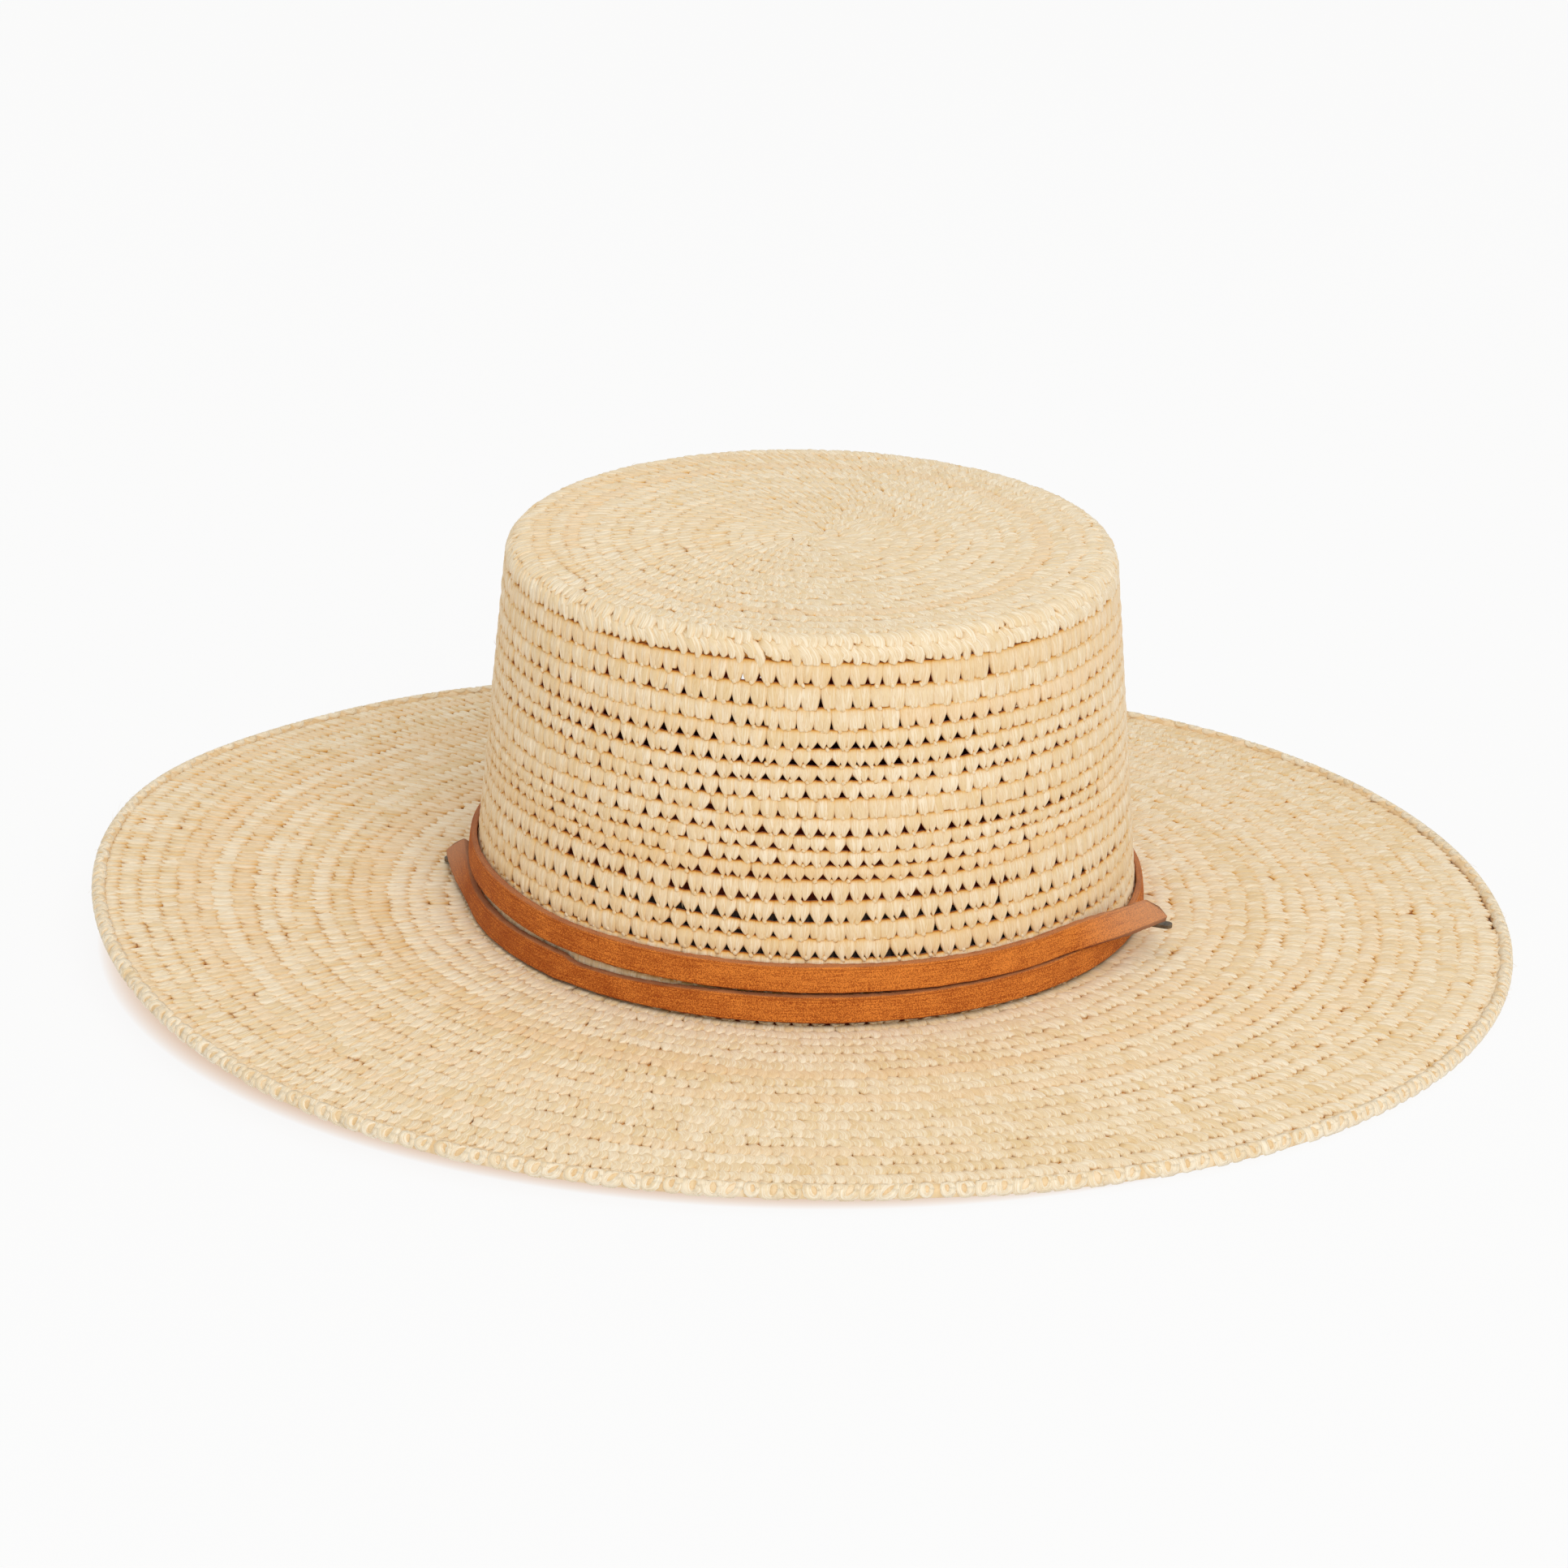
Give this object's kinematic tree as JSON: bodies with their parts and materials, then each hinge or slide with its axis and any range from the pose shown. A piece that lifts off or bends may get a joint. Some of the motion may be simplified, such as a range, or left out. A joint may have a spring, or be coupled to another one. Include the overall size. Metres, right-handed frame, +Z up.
{
  "type": "straw hat",
  "caption": "Wide-brimmed crocheted straw hat with a flat-topped crown, a wavy wired brim and a narrow leather strap wound round the crown.",
  "frame": {"origin": "centre of the bounding box at the level that the brim rests on; the crown's axis is the Z axis", "axes": "+Z up along the crown's axis, -Y to the hat's front, +X to the right seen from the front"},
  "size_m": [0.3997, 0.373, 0.1153],
  "materials": {
    "straw": "natural crocheted raffia, satin",
    "leather": "tan, matt, raw cut edges",
    "steel": "aged, dull",
    "ribbon": "dark brown ribbed ribbon, matt"
  },
  "bodies": {
    "root": {"crown_tip": "straw", "crown_wall": "straw", "brim": "straw", "brim_edge_round": "straw", "brim_wire": "steel", "wire_sleeve": "steel", "sweatband": "ribbon", "sweatband_join_tape": "ribbon", "leather_strap": "leather", "strap_pin_left": "steel", "strap_pin_right": "steel"}
  },
  "joints": []
}
